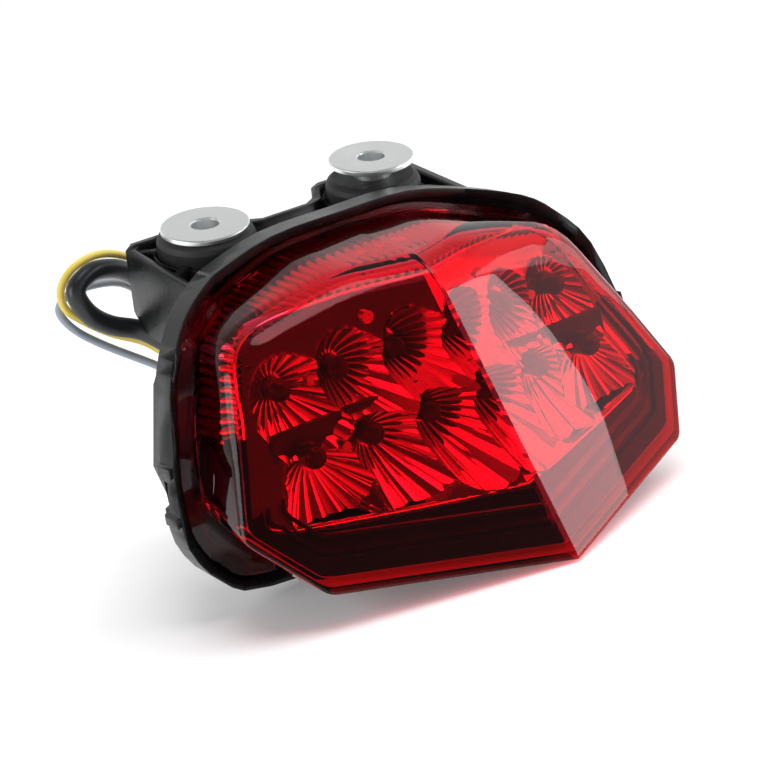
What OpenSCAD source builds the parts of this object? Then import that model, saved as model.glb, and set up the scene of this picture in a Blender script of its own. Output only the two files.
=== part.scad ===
// LED tail light for a motorcycle, carried on two rubber-mounted steel sleeves.
// Frame: the origin is midway between the two sleeve axes, on the plane of the seated flanges.
// +Z runs up along the mounting bolts, X runs across the light and the lens faces -Y.
// The lens body leans down by lens_tilt; lens_frame() turns into its own axes, where
// x is across, v runs from the lens back to the housing and w runs up. All sizes are in mm.

/* [Mounting] */
// Distance between the two sleeve axes
bolt_spacing = 45.5; // [45:0.5:46]
// Diameter of the sleeve flanges
flange_d = 20; // [18:0.5:21]
// Thickness of the sleeve flanges
flange_t = 1.2; // [0.9:0.1:1.5]
// Bore of the sleeves
bore_d = 6.4; // [5.4:0.1:6.8]
// Outer diameter of the sleeve tubes
sleeve_d = 9; // [8.4:0.1:9.6]
// How far the right sleeve stands proud of its seat
right_proud = 3.2; // [0:0.1:3.2]

/* [Lens] */
// Angle by which the lens body leans down from the mounting plane
lens_tilt = 10; // [9.5:0.5:10.5]
// Wall thickness of the lens
lens_wall = 2.2; // [1.8:0.1:2.4]
// Thickness of the lens flange
lens_flange_t = 2; // [1.6:0.1:2]

/* [Lamps] */
// Distance between lamps in a row
lamp_pitch = 14.46; // [14.2:0.01:14.6]
// Body diameter of a lamp
lamp_d = 5; // [4.6:0.1:5]

/* [Housing] */
// Depth of the rim wall, front to back
rim_depth = 6.5; // [6.2:0.1:7]
// Thickness of the rim wall
rim_wall = 1.9; // [1.6:0.1:1.9]
// Thickness of the housing shell
shell_t = 2.2; // [1.8:0.1:2.4]
// Thickness of the bracket walls
bracket_wall = 2; // [1.6:0.1:2.2]

/* [Harness] */
// Diameter of the black harness sleeve
harness_d = 4.6; // [4:0.1:4.6]
// Diameter of a single wire
wire_d = 1.9; // [1.6:0.1:1.9]

/* [Hidden] */
$fn = 64;

gap = 0.05;        // clearance between pieces that touch
slide_gap = 0.06;  // radial clearance of a sleeve in its grommet
far = 90;          // reach of a cut that passes right through

// The two front planes of the lens meet in a ridge: v = prow_slope |x| + rake_slope w + ridge_v
prow_slope = 0.348;
rake_slope = 0.605;
ridge_v = -47.9;

// Outlines seen from the front: [x, w] from the top of the centre line down the right side.
// The root of the lens wall also holds its v, because the wall's root follows the rim.
front_half = [[0, -8.1], [15, -7.7], [30, -10.2], [44.3, -14.7], [51, -31.7], [57.8, -48.9],
    [46.9, -61.5], [0, -66.9]];
root_half = [[0, -5, -22], [17, -5.6, -22], [30, -9.8, -22], [45.5, -15.2, -28], [52, -31, -36],
    [55.4, -47.8, -38], [44, -64.6, -40], [0, -68, -40]];
flange_half = [[0, -3.8], [17, -4.4], [31, -8.6], [43.5, -13.3], [48.6, -16.8], [53.4, -24], [58.4, -44],
    [58.2, -54], [53.8, -61.2], [44.5, -66.1], [0, -69.2]];
rim_half = [[0, -1.4], [18, -1.8], [33.5, -5.7], [44.5, -9.6], [50.4, -14.6], [56.2, -23.5],
    [60.9, -43], [60.6, -54.5], [55.5, -63.4], [45, -68.6], [0, -71.4]];
reflector_half = [[0, -12], [20, -12.3], [39.5, -16.5], [46.6, -32.5], [52.4, -46.5], [49.5, -50],
    [38, -51.7], [0, -53.7]];

// Front edge of the rim seen from above, [x, v], and from the side, [v, w]
rim_plan = [[0, -20.5], [30, -20.5], [36, -21.8], [50, -30.6], [56, -34.8], [70, -45]];
rim_side = [[0, -7], [-20, -12], [-30, -17], [-33.4, -24], [-37, -47], [-41, -76]];
lens_set = 0.8;     // the lens flange lies this far behind the rim's front edge
seat_depth = lens_set + lens_flange_t + 0.1;
seal_depth = 1.4;

// Back of the housing from the side, [v, w], clockwise from its top front corner
back_v = -14;
back_side = [[-50, -9], [-16, -9], [back_v, -20], [back_v, -44], [-24, -61], [-50, -66]];

// Bracket seen from above, [x, y], down the right side from the front
bracket_half_w = 38.5;
bracket_back = 12.2;
bracket_front = -24;
notch_back = 3.3;
bracket_half = [[0, bracket_front], [bracket_half_w, bracket_front], [bracket_half_w, bracket_back - 3],
    [bracket_half_w - 3, bracket_back], [15, bracket_back], [12, bracket_back - 1.8],
    [8.8, notch_back + 1.8], [6, notch_back], [0, notch_back]];
bracket_top = -4.7;
bracket_corner = [0, -11.5];   // [y, z] of the centre of the rounded lower corner
bracket_root_v = -17.4;        // the bracket runs into the rim down to this v
web_z = -12;                   // underside of the web between the bracket walls
web_t = 2;
boss_r = 12.4;
boss_top = -6;
plate_top = -7;                // plate that the grommet's waist holds
plate_t = 3;
boss_hole_r = 8.6;

// Grommets and sleeves
grommet_r = 11.2;
grommet_waist_r = boss_hole_r - gap;
grommet_foot_z = -14;
sleeve_foot_z = -15.4;

// Lamp rows: [v, w] of the lamps' seat on their board
lamp_count = 6;
upper_row = [-40.6, -26.65];
lower_row = [-50.1, -39.3];
lamp_h = 3.2;                  // height of a lamp's barrel, under its dome
board_t = 1.6;
reflector_set = 5.2;           // from the lens front back to the reflector's front edge
bowl_profile = [[2.6, 0.2], [4.2, 1.6], [6.4, 4], [8.6, 8], [10.4, 13], [12, 19], [13.5, 26]];

// The plate lamp's board, in the top of the lens
plate_v = [-39.2, -28];
plate_w = -10.9;
plate_half_w = 8.5;

// Screws that hold the reflector to the housing's posts: [x, w, v of the post's seat]
post_x = lamp_pitch;
posts = [[post_x, -17.1, -38], [post_x, -49.6, -47.6]];
post_r = 3.3;
screw_r = 1.4;
screw_head_r = 2.5;
board_screw_r = 1.05;
board_screw_x = [-2 * lamp_pitch, 0, 2 * lamp_pitch];

// Openings in the back wall: [x, w], and the bores of the cable grommet: [x, w, radius] from its axis
cable_exit = [-16, -33];
cable_hole_r = 4.7;
cable_bores = [[0, 1, harness_d / 2 + gap], [-1.6, -2.6, wire_d / 2 + gap], [1.6, -2.6, wire_d / 2 + gap]];
breather = [16, -33];
breather_r = 2.6;

// Plug at the end of the harness
plug_at = [0, 21, -30];
plug_size = [20, 9, 11];
plug_cavities = [[-2.4, 2.6], [2.4, 2.6], [-2.4, -2.4], [2.4, -2.4], [0, 0.1]];

function unit(a) = a / norm(a);

// The left half of an outline is the mirror image of the half that is listed
function both_sides(half) = concat(half,
    [for (i = [len(half) - 1:-1:0]) if (half[i].x > 0)
        concat([-half[i].x], [for (k = [1:len(half[i]) - 1]) half[i][k]])]);

// One span of a Catmull-Rom curve, from b to c
function span(a, b, c, d, t) = 0.5 * (2 * b + (c - a) * t + (2 * a - 5 * b + 4 * c - d) * t * t
    + (3 * b - a - 3 * c + d) * t * t * t);

// A smooth curve through the points of a path or of a closed outline, with n steps between each two
function smooth(p, n) = let (m = len(p) - 1) concat([for (i = [0:m - 1], k = [0:n - 1])
    span(p[max(i - 1, 0)], p[i], p[i + 1], p[min(i + 2, m)], k / n)], [p[m]]);
function smooth_loop(p, n) = let (m = len(p)) [for (i = [0:m - 1], k = [0:n - 1])
    span(p[(i + m - 1) % m], p[i], p[(i + 1) % m], p[(i + 2) % m], k / n)];

// Moves every side of a clockwise outline inwards by d
function inset(pts, d) = let (n = len(pts), p = [for (q = pts) [q.x, q.y]]) [
    for (i = [0:n - 1])
        let (a = unit(p[i] - p[(i + n - 1) % n]), b = unit(p[(i + 1) % n] - p[i]),
             na = [a.y, -a.x], nb = [b.y, -b.x])
        p[i] + d * (na + nb) / (1 + na * nb)];

rim_loop = smooth_loop(both_sides(rim_half), 3);
flange_loop = smooth_loop(both_sides(flange_half), 3);
plan_edge = smooth(rim_plan, 3);
side_edge = smooth(rim_side, 3);

function front_v(p) = prow_slope * abs(p.x) + rake_slope * p.y + ridge_v;
function lamp_x(i) = (i - (lamp_count - 1) / 2) * lamp_pitch;

module lens_frame() rotate([-lens_tilt, 0, 0]) children();

// An outline in x and w, swept along v
module along_v(pts, v0 = -far, v1 = far)
    translate([0, v1, 0]) rotate([90, 0, 0]) linear_extrude(v1 - v0) polygon(pts);

// An outline in v and w, swept across x
module along_x(pts, half_w = 70)
    translate([-half_w, 0, 0]) rotate([90, 0, 90]) linear_extrude(2 * half_w) polygon(pts);

// A rod from v0 to v1 at x and w
module rod(x, w, r, v0, v1) translate([x, v1, w]) rotate([90, 0, 0]) cylinder(r = r, h = v1 - v0);

// Keeps a piece and its mirror image across the centre line
module pair() {
    children();
    mirror([1, 0, 0]) children();
}

// Everything behind the rim's front edge, moved back by d
module behind(d) translate([0, d, 0]) {
    translate([0, 0, -far]) linear_extrude(far + 10) polygon(concat([[-70, far]],
        [for (i = [len(plan_edge) - 1:-1:1]) [-plan_edge[i].x, plan_edge[i].y]], plan_edge, [[70, far]]));
    along_x(concat([[far, rim_side[0].y]], side_edge, [[far, -76]]));
}

// Everything behind the lens front, moved back by d along v
module behind_front(d) {
    lean = asin(rake_slope / norm([prow_slope, 1, rake_slope]));
    intersection_for (side = [0, 1]) mirror([side, 0, 0])
        translate([0, ridge_v + d, 0]) rotate([-lean, 0, atan(prow_slope)])
            translate([-1.5 * far, 0, -1.5 * far]) cube([3 * far, far, 3 * far]);
}

// ---- rear housing ----

module rim() difference() {
    intersection() {
        along_v(rim_loop);
        behind(0);
    }
    behind(rim_depth);
    difference() {
        along_v(inset(rim_loop, rim_wall));
        behind(seat_depth);
    }
    along_v(inset(both_sides(flange_half), 5));
}

module shell_solid(d) intersection() {
    along_v(inset(both_sides(rim_half), 7 + d));
    along_x(inset(back_side, d));
}

module shell() difference() {
    intersection() {
        shell_solid(0);
        behind(seat_depth + seal_depth + 0.8);
    }
    difference() {
        shell_solid(shell_t);
        pair() for (p = posts) rod(p.x, p.y, post_r, p.z - 2.6, -10);
    }
}

function mirrored_plan(half) = concat(half, [for (i = [len(half) - 2:-1:1]) [-half[i].x, half[i].y]]);

// The outline runs anticlockwise, so it is reversed for inset()
function bracket_plan(d) = let (p = mirrored_plan(bracket_half)) inset([for (i = [len(p) - 1:-1:0]) p[i]], d);

module bracket_side() along_x(concat([[bracket_front, bracket_top], [bracket_back, bracket_top]],
    [for (a = [0:-15:-90]) bracket_corner + bracket_back * [cos(a), sin(a)]],
    [[bracket_front, bracket_corner.y - bracket_back]]), 60);

module bracket_hollow(z0, z1) intersection() {
    translate([0, 0, z0]) linear_extrude(z1 - z0) polygon(bracket_plan(bracket_wall));
    translate([-60, bracket_front + 6, -50]) cube([120, 60, 60]);
}

// A straight upright rib between two points of the plan
rib_t = 1.6;
rib_top = bracket_top - 0.6;
module rib(p, q) translate([p.x, p.y, web_z]) rotate([0, 0, atan2(q.y - p.y, q.x - p.x)])
    translate([0, -rib_t / 2, 0]) cube([norm(q - p), rib_t, rib_top - web_z]);

module bracket() {
    seat = [bolt_spacing / 2, 0];
    rib_ends = [[bracket_half_w - 1, bracket_back - 3], [bracket_half_w - 1, -10], [bracket_half_w - 8, -19],
        [8.5, 5], [0.5, -17], [15, -19]];
    difference() {
        intersection() {
            translate([0, 0, -40]) linear_extrude(40) polygon(bracket_plan(0));
            bracket_side();
        }
        bracket_hollow(web_z + web_t, 10);
        bracket_hollow(-50, web_z);
    }
    pair() {
        for (end = rib_ends) rib(seat, end);
        translate([seat.x, seat.y, web_z]) cylinder(r = boss_r, h = boss_top - web_z);
    }
}

module boss_cuts() for (x = [-1, 1] * bolt_spacing / 2) translate([x, 0, 0]) {
    translate([0, 0, -40]) cylinder(r = boss_hole_r, h = 60);
    translate([0, 0, plate_top]) cylinder(r = grommet_r + 0.3, h = 20);
    translate([0, 0, -40]) cylinder(r = grommet_r + 0.3, h = 40 + plate_top - plate_t);
}

// Two outward ribs each side guard the window that the lens tab snaps into
guard_levels = [-37.8, -48.2];  // w of the upper and the lower rib
guard_t = 2.2;
guard_x = 59.6;                 // the ribs start inside the rim wall
guard_reach = [60.8, 62.2];     // x of the outer edge at the upper and at the lower rib
window_v = -34.2;
window_d = 3.2;
window_w = -43.3;               // w of the window's middle
window_h = 6;
module clip_guards() difference() {
    intersection() {
        for (w = guard_levels) translate([guard_x, -far, w - guard_t / 2]) cube([3, 2 * far, guard_t]);
        along_v([[50, guard_levels[0] + guard_t], [guard_reach[0], guard_levels[0] + guard_t],
            [guard_reach[1], guard_levels[1]], [guard_reach[1], guard_levels[1] - guard_t],
            [50, guard_levels[1] - guard_t]]);
        behind(1);
    }
    behind(rim_depth - 0.3);
}

module clip_window() translate([52, window_v, window_w - window_h / 2]) cube([12, window_d, window_h]);

module rear_housing() color("#26282a") difference() {
    union() {
        lens_frame() {
            rim();
            shell();
            pair() clip_guards();
        }
        difference() {
            bracket();
            lens_frame() {
                shell_solid(shell_t);
                translate([-70, -far, -far]) cube([140, far + bracket_root_v, 2 * far]);
            }
        }
    }
    boss_cuts();
    lens_frame() {
        pair() clip_window();
        seal_groove();
        rod(cable_exit.x, cable_exit.y, cable_hole_r, -25, -5);
        rod(breather.x, breather.y, breather_r, -25, -5);
        pair() for (p = posts) {
            rod(p.x, p.y, screw_head_r + 0.2, p.z, -5);
            rod(p.x, p.y, screw_r + 0.2, p.z - 5, -5);
        }
    }
}

// ---- lens, seal and bezel ----

// The lens outline, inset by d, lofted from the front planes back to end_v
function loft_points(d, end_v) = let (root = both_sides(root_half), f = inset(both_sides(front_half), d),
    r = inset(root, d), lift = d * norm([prow_slope, 1, rake_slope]), n = len(f)) concat(
        [for (p = f) [p.x, front_v(p) + lift, p.y]],
        [for (i = [0:n - 1])
            let (v0 = front_v(f[i]) + lift, q = f[i] + (r[i] - f[i]) * (end_v - v0) / (root[i].z - v0))
            [q.x, end_v, q.y]]);

module lens_loft(d, end_v) {
    half_n = len(front_half) - 1;
    n = 2 * half_n;
    hull() polyhedron(points = loft_points(d, end_v), faces = concat(
        [[for (i = [0:half_n]) i], [for (i = [half_n:n]) i % n], [for (i = [n - 1:-1:0]) n + i]],
        [for (i = [0:n - 1]) [(i + 1) % n, i, n + i, n + (i + 1) % n]]));
}

// A tab on each side of the lens flange snaps into the window in the rim, outside the seal
tab_x = 57.75;
tab_reach = 2.5;
tab_h = window_h - 0.8;
module lens_tab() translate([tab_x, window_v, window_w - tab_h / 2]) {
    translate([0, 0.5, 0]) cube([tab_reach, window_d - 1.5, tab_h]);
    intersection() {
        translate([0, -0.8, 0]) cube([tab_reach, window_d - 0.2, tab_h]);
        translate([-tab_x, 0, tab_h / 2 - window_w]) along_v(flange_loop);
    }
}

module outer_lens() color("#b3121c", 0.55) lens_frame() difference() {
    union() {
        difference() {
            lens_loft(0, -17);
            behind(lens_set + lens_flange_t);
        }
        difference() {
            intersection() {
                along_v(flange_loop);
                behind(lens_set);
            }
            behind(lens_set + lens_flange_t);
        }
        pair() lens_tab();
    }
    lens_loft(lens_wall, -10);
}

module seal_groove() difference() {
    intersection() {
        along_v(inset(flange_loop, 0.9));
        behind(seat_depth - 0.2);
    }
    behind(seat_depth + seal_depth);
    along_v(inset(flange_loop, 3.1));
}

module lens_seal() color("#1c1c1c") lens_frame() difference() {
    intersection() {
        along_v(inset(flange_loop, 0.9 + gap));
        behind(seat_depth - 0.05);
    }
    behind(seat_depth + seal_depth - gap);
    along_v(inset(flange_loop, 3.1 - gap));
}

// The dark mask fills the space between the lower half of the reflector and the lens wall
bezel_set = 4.4;
bezel_t = 1.3;
bezel_top = -33;
module bezel_space(d, set) intersection() {
    lens_loft(lens_wall + 0.6 + d, -10);
    behind_front(set);
}

module dark_bezel() color("#17181a") lens_frame() difference() {
    bezel_space(0, bezel_set);
    bezel_space(bezel_t, bezel_set + bezel_t * 1.3);
    along_v(inset(both_sides(reflector_half), -0.3));
    behind(0.3);
    translate([-far, -far, bezel_top]) cube(2 * far);
}

// ---- reflector, boards and lamps ----

module bowl(row, x) translate([x, row[0] - 2, row[1]]) rotate([90, 0, 0]) rotate_extrude()
    polygon(concat([[0, -4], [bowl_profile[0].x, -4]], bowl_profile, [[0, 26]]));

board_split = -33;   // w between the two steps at the reflector's back
module reflector() color("#c9ccd1") lens_frame() difference() {
    intersection() {
        along_v(both_sides(reflector_half), -far, upper_row[0] - gap);
        behind_front(reflector_set);
    }
    translate([-70, lower_row[0] - gap, board_split - far]) cube([140, far, far]);
    for (i = [0:lamp_count - 1]) {
        bowl(upper_row, lamp_x(i));
        bowl(lower_row, lamp_x(i));
    }
    pair() for (p = posts) rod(p.x, p.y, screw_r + gap, p.z - 10, -20);
    for (row = [upper_row, lower_row], x = board_screw_x) rod(x, row[1], board_screw_r + gap, row[0] - 5, -20);
}

module led_board(row, half_w, drop) difference() {
    along_v([[-half_w, row[1] + 6], [half_w, row[1] + 6], [half_w + 1.5, row[1] - drop],
        [-half_w - 1.5, row[1] - drop]], row[0], row[0] + board_t);
    for (x = board_screw_x) rod(x, row[1], board_screw_r + 0.1, row[0] - 5, -20);
}

module upper_led_board() color("#1f5a35") lens_frame() led_board(upper_row, 40.5, 6);
module lower_led_board() color("#1f5a35") lens_frame() led_board(lower_row, 43, 6.2);

module lamp(row, x) {
    rod(x, row[1], lamp_d / 2, row[0] - lamp_h, row[0] - gap);
    translate([x, row[0] - lamp_h, row[1]]) intersection() {
        sphere(r = lamp_d / 2);
        translate([-5, -10, -5]) cube([10, 10.01, 10]);
    }
}

module upper_row_leds() color("#d8303a") lens_frame() for (i = [0:lamp_count - 1]) lamp(upper_row, lamp_x(i));
module lower_row_leds() color("#d8303a") lens_frame() for (i = [0:lamp_count - 1]) lamp(lower_row, lamp_x(i));

// Parts soldered to the back of a board, at x and w
module on_back(row, x, w) translate([x, row[0] + board_t + gap, w]) children();

resistor_r = 1.15;
resistor_l = 6.2;
lead_r = 0.3;
lead_l = 1.4;
module resistors() color("#c8b48a") lens_frame() for (x = [-36, -21.7, -7.2, 7.2, 21.7, 36])
    on_back(upper_row, x - resistor_l / 2, upper_row[1] - 3.6)
        translate([0, resistor_r + gap, 0]) rotate([0, 90, 0]) {
            cylinder(r = resistor_r, h = resistor_l);
            translate([0, 0, -lead_l]) cylinder(r = lead_r, h = resistor_l + 2 * lead_l);
        }

diode_r = 1.3;
diode_l = 5;
module polarity_diodes() color("#2a2a2c") lens_frame() for (x = [-24, -18])
    on_back(lower_row, x, lower_row[1] - diode_l / 2) translate([0, diode_r + gap, 0]) {
        cylinder(r = diode_r, h = diode_l);
        translate([0, 0, -lead_l]) cylinder(r = lead_r, h = diode_l + 2 * lead_l);
    }

chip_size = [6, 1.7, 5];
chip_pin_pitch = 1.27;
chip_pin = [0.45, 0.4, 7];
chip_pin_x = chip_size.x / 2 - 1.5 * chip_pin_pitch - chip_pin.x / 2;
module regulator_chip() color("#1b1b1d") lens_frame() on_back(lower_row, 12, lower_row[1] - chip_size.z / 2) {
    cube(chip_size);
    for (k = [0:3]) translate([chip_pin_x + k * chip_pin_pitch, 0, (chip_size.z - chip_pin.z) / 2])
        cube(chip_pin);
}

module screw(x, w, seat_v, r, length, head_r, head_h) {
    rod(x, w, r, seat_v - length, seat_v + head_h);
    rod(x, w, head_r, seat_v + gap, seat_v + head_h);
}

module board_screws() color("#b9bcc0") lens_frame()
    for (row = [upper_row, lower_row], x = board_screw_x)
        screw(x, row[1], row[0] + board_t, board_screw_r, 6, 2, 1.3);

module reflector_screws() color("#b9bcc0") lens_frame() pair() for (p = posts)
    screw(p.x, p.y, p.z, screw_r, 9.8, screw_head_r, 2);

// The plate lamp shines out through the top of the lens, from a board soldered upright to the upper board
module plate_led_board() color("#1f5a35") lens_frame() {
    translate([-plate_half_w, plate_v[0] + 0.2, plate_w])
        cube([2 * plate_half_w, plate_v[1] - plate_v[0] - 0.2, 1]);
    translate([-4, upper_row[0] + board_t, upper_row[1] + 4]) cube([8, 1, plate_w + 0.5 - upper_row[1] - 4]);
}

module plate_leds() color("#f2e9c0") lens_frame() for (x = [-5, 0, 5])
    translate([x - 1.4, -35, plate_w + 1 + gap]) cube([2.8, 3, 0.9]);

// ---- rubber mounts and sleeves ----

module grommet(x) color("#161616") translate([x, 0, 0]) rotate_extrude() polygon([
    [sleeve_d / 2 + slide_gap, -flange_t - gap], [flange_d / 2 - 0.4, -flange_t - gap], [grommet_r - 0.5, -2.1],
    [grommet_r, -3.2], [grommet_r, plate_top + gap], [grommet_waist_r, plate_top + gap],
    [grommet_waist_r, plate_top - plate_t - gap], [grommet_r - 0.4, plate_top - plate_t - gap],
    [grommet_r - 0.4, grommet_foot_z + 1.6], [grommet_r - 2, grommet_foot_z],
    [sleeve_d / 2 + slide_gap, grommet_foot_z]]);

module left_grommet() grommet(-bolt_spacing / 2);
module right_grommet() grommet(bolt_spacing / 2);

flange_edge = 0.25;   // chamfer on the flange and on both ends of the bore
module flanged_sleeve() color("#c6ccd0") rotate_extrude() polygon([
    [bore_d / 2 + flange_edge, 0], [flange_d / 2 - flange_edge, 0], [flange_d / 2, -flange_edge],
    [flange_d / 2, -flange_t + 0.1], [flange_d / 2 - 0.1, -flange_t], [sleeve_d / 2, -flange_t],
    [sleeve_d / 2, sleeve_foot_z + flange_edge], [sleeve_d / 2 - flange_edge, sleeve_foot_z],
    [bore_d / 2 + flange_edge, sleeve_foot_z], [bore_d / 2, sleeve_foot_z + flange_edge],
    [bore_d / 2, -flange_edge]]);

module left_sleeve() translate([-bolt_spacing / 2, 0, 0]) flanged_sleeve();
module right_sleeve() translate([bolt_spacing / 2, 0, right_proud]) flanged_sleeve();

// ---- breather and harness ----

module breather_plug() color("#3a3c3e") lens_frame() {
    rod(breather.x, breather.y, breather_r - gap, back_v - 3.2, back_v + 1);
    rod(breather.x, breather.y, 4.6, back_v + gap, back_v + 1.8);
    rod(breather.x, breather.y, breather_r + 0.4, back_v - 4, back_v - shell_t - gap);
}

module cable_grommet() color("#1a1a1a") lens_frame() difference() {
    union() {
        rod(cable_exit.x, cable_exit.y, cable_hole_r - gap, back_v - 4, back_v + 2.6);
        rod(cable_exit.x, cable_exit.y, cable_hole_r + 1.4, back_v + gap, back_v + 1.6);
        rod(cable_exit.x, cable_exit.y, cable_hole_r + 1, back_v - 4, back_v - shell_t - gap);
    }
    for (b = cable_bores) rod(cable_exit.x + b.x, cable_exit.y + b.y, b.z, -far, 0);
}

// A point of the back wall, given in the lens frame, in the mounting frame
function from_lens(x, v, w) = [x, v * cos(lens_tilt) + w * sin(lens_tilt),
    -v * sin(lens_tilt) + w * cos(lens_tilt)];

function headings(p) = let (m = len(p) - 1) [for (i = [0:m]) unit(p[min(i + 1, m)] - p[max(i - 1, 0)])];

// A direction square to each heading, carried along the path without twist
function carried(t, start, i = 0) = i == len(t) ? [] :
    let (s = unit(start - (start * t[i]) * t[i])) concat([s], carried(t, s, i + 1));

module wire(points, d, n = 6, sides = 10) {
    p = smooth(points, n);
    t = headings(p);
    s = carried(t, [0.3, 0.4, 1]);
    last = len(p) - 1;
    polyhedron(
        points = [for (i = [0:last], k = [0:sides - 1]) let (a = 360 * k / sides)
            p[i] + d / 2 * (cos(a) * s[i] + sin(a) * cross(t[i], s[i]))],
        faces = concat([[for (k = [0:sides - 1]) k], [for (k = [sides - 1:-1:0]) last * sides + k]],
            [for (i = [0:last - 1], k = [0:sides - 1]) let (j = (k + 1) % sides)
                [i * sides + k, (i + 1) * sides + k, (i + 1) * sides + j, i * sides + j]]));
}

function bore_start(i, v) = from_lens(cable_exit.x + cable_bores[i].x, v, cable_exit.y + cable_bores[i].y);
function cavity(i) = plug_at + [-plug_size.x / 2, plug_cavities[i].x, plug_cavities[i].y];
sleeve_end = [-18.5, 21, -31];

module harness_sleeve() color("#202224")
    wire([bore_start(0, back_v - 8), bore_start(0, back_v - 2), bore_start(0, back_v + 4), [-20, -12, -30.4],
        [-28, -8, -29.4], [-33.4, -0.5, -27.4], [-37.6, 7.6, -24.2], [-44.5, 10, -21.2], [-48.9, 11, -17.1],
        [-50.2, 13, -12.4], [-46.7, 14.5, -10.1], [-42.4, 15.5, -10], [-36, 17.2, -12.8], [-29, 19.5, -20],
        [-24.5, 20.6, -27], sleeve_end], harness_d, 5, 14);

module yellow_wires() color("#e3cf62")
    wire([bore_start(1, back_v - 8), bore_start(1, back_v - 2), bore_start(1, back_v + 4), [-22, -11.6, -35],
        [-29.5, -7, -33.4], [-33, 1.5, -31.4], [-36.6, 9.6, -28.2], [-43.2, 13.5, -24.9], [-48.7, 15.5, -20.5],
        [-51.7, 16.5, -17], [-51.8, 17.5, -13.1], [-49.1, 18, -9.7], [-44.8, 18.5, -8], [-40.3, 19, -8],
        [-35.4, 19.6, -9.8], [-28, 21.4, -15], [-20, 23.2, -23], cavity(1) - [5, 0, -1], cavity(1) - [1, 0, 0],
        cavity(1) + [2, 0, 0]], wire_d);

module grey_wire() color("#9aa4b0") wire([bore_start(2, back_v - 8), bore_start(2, back_v - 2),
    bore_start(2, back_v + 4), [-19, -12, -37.5], [-29, -4, -37], [-37, 7, -32.5], [-46, 13.4, -26.6],
    [-51.6, 15.5, -21.2], [-52, 19.4, -17.8], [-46, 22.6, -16.5], [-34, 24.6, -19], [-26, 25, -27],
    [-24, 22, -36], [-19, 18.6, -35.4], cavity(2) - [4, 0, 0], cavity(2) - [1, 0, 0],
    cavity(2) + [2, 0, 0]], wire_d);

// The three wires that leave the end of the harness sleeve
sleeve_way = unit([6, 0.4, -4]);
module tail_wire(i, start) wire([sleeve_end + start - 2 * sleeve_way, sleeve_end + start + 1.5 * sleeve_way,
    cavity(i) - [2, 0, 0], cavity(i) + [2, 0, 0]], 1.4, 6, 8);

module red_wire() color("#b3201c") tail_wire(0, [0, -0.9, 0.9]);
module black_wire() color("#202020") tail_wire(3, [0, 1, -0.3]);
module white_wire() color("#e8e8e6") tail_wire(4, [0, -0.5, -1.1]);

// The plug's mouth faces +x, and a band round its wire end gives grip
plug_wall = 1.1;
plug_band = [7, 1.6, -2];      // length, and what the band adds to the plug's depth and height
module plug_housing() color("#ece9e0") translate(plug_at) difference() {
    union() {
        translate(-plug_size / 2) cube(plug_size);
        translate([1, 0, 0] - [plug_size.x, plug_size.y + plug_band.y, plug_size.z + plug_band.z] / 2)
            cube([plug_band.x, plug_size.y + plug_band.y, plug_size.z + plug_band.z]);
    }
    translate([1, -plug_size.y / 2 + plug_wall, -plug_size.z / 2 + plug_wall])
        cube([plug_size.x, plug_size.y - 2 * plug_wall, plug_size.z - 2 * plug_wall]);
    for (c = plug_cavities) translate([-plug_size.x, c.x, c.y]) rotate([0, 90, 0])
        cylinder(r = wire_d / 2 + 0.15, h = 1.5 * plug_size.x);
}

terminal_r = 0.8;
terminal_l = 16;
module plug_terminals() color("#c8a24a") translate(plug_at) for (c = plug_cavities)
    translate([2.6 - plug_size.x / 2, c.x, c.y]) rotate([0, 90, 0]) cylinder(r = terminal_r, h = terminal_l);

// Latch arm on top of the plug, hinged on a thin neck
lock_w = 4;
lock_l = 9.5;
lock_rise = 1.6;
lock_t = 1;
module plug_lock() color("#ece9e0") translate(plug_at + [-1.5, -lock_w / 2, plug_size.z / 2 + gap]) {
    cube([2, lock_w, lock_rise]);
    translate([0, 0, lock_rise - 0.01]) cube([lock_l, lock_w, lock_t]);
    translate([lock_l - 1.5, 0, lock_rise - 0.9]) cube([1.5, lock_w, lock_t]);
}

rear_housing();
outer_lens();
reflector();
dark_bezel();
lens_seal();
upper_led_board();
lower_led_board();
plate_led_board();
upper_row_leds();
lower_row_leds();
plate_leds();
resistors();
polarity_diodes();
regulator_chip();
board_screws();
reflector_screws();
left_grommet();
right_grommet();
left_sleeve();
right_sleeve();
breather_plug();
cable_grommet();
harness_sleeve();
yellow_wires();
grey_wire();
red_wire();
black_wire();
white_wire();
plug_housing();
plug_terminals();
plug_lock();
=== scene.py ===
"""The looks of the tail light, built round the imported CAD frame. Lengths are in millimetres up to at().

The lens body leans by TILT from the frame: at(x, v, w) turns a point of the lens's own axes (x across,
v back, w up) into the frame, in metres. The outlines and the lamp rows are those of the CAD source.
"""

import math

import bmesh
import bpy
import numpy as np
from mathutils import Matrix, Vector


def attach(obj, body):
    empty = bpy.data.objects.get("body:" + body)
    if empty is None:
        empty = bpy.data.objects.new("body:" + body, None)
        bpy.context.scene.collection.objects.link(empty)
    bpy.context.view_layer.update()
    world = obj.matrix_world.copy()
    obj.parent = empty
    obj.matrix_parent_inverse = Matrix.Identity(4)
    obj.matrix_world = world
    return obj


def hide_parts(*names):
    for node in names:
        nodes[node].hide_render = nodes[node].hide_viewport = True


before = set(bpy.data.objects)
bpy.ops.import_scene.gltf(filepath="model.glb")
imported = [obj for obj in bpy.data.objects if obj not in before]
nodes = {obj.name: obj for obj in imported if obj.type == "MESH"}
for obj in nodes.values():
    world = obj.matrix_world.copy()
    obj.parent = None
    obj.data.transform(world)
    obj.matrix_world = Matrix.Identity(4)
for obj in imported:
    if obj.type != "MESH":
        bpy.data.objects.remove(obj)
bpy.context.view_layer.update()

MM = 0.001
WELD = 2e-6                      # metres; points closer than this are one point
TILT = math.radians(10)
HOME = "light"

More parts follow.
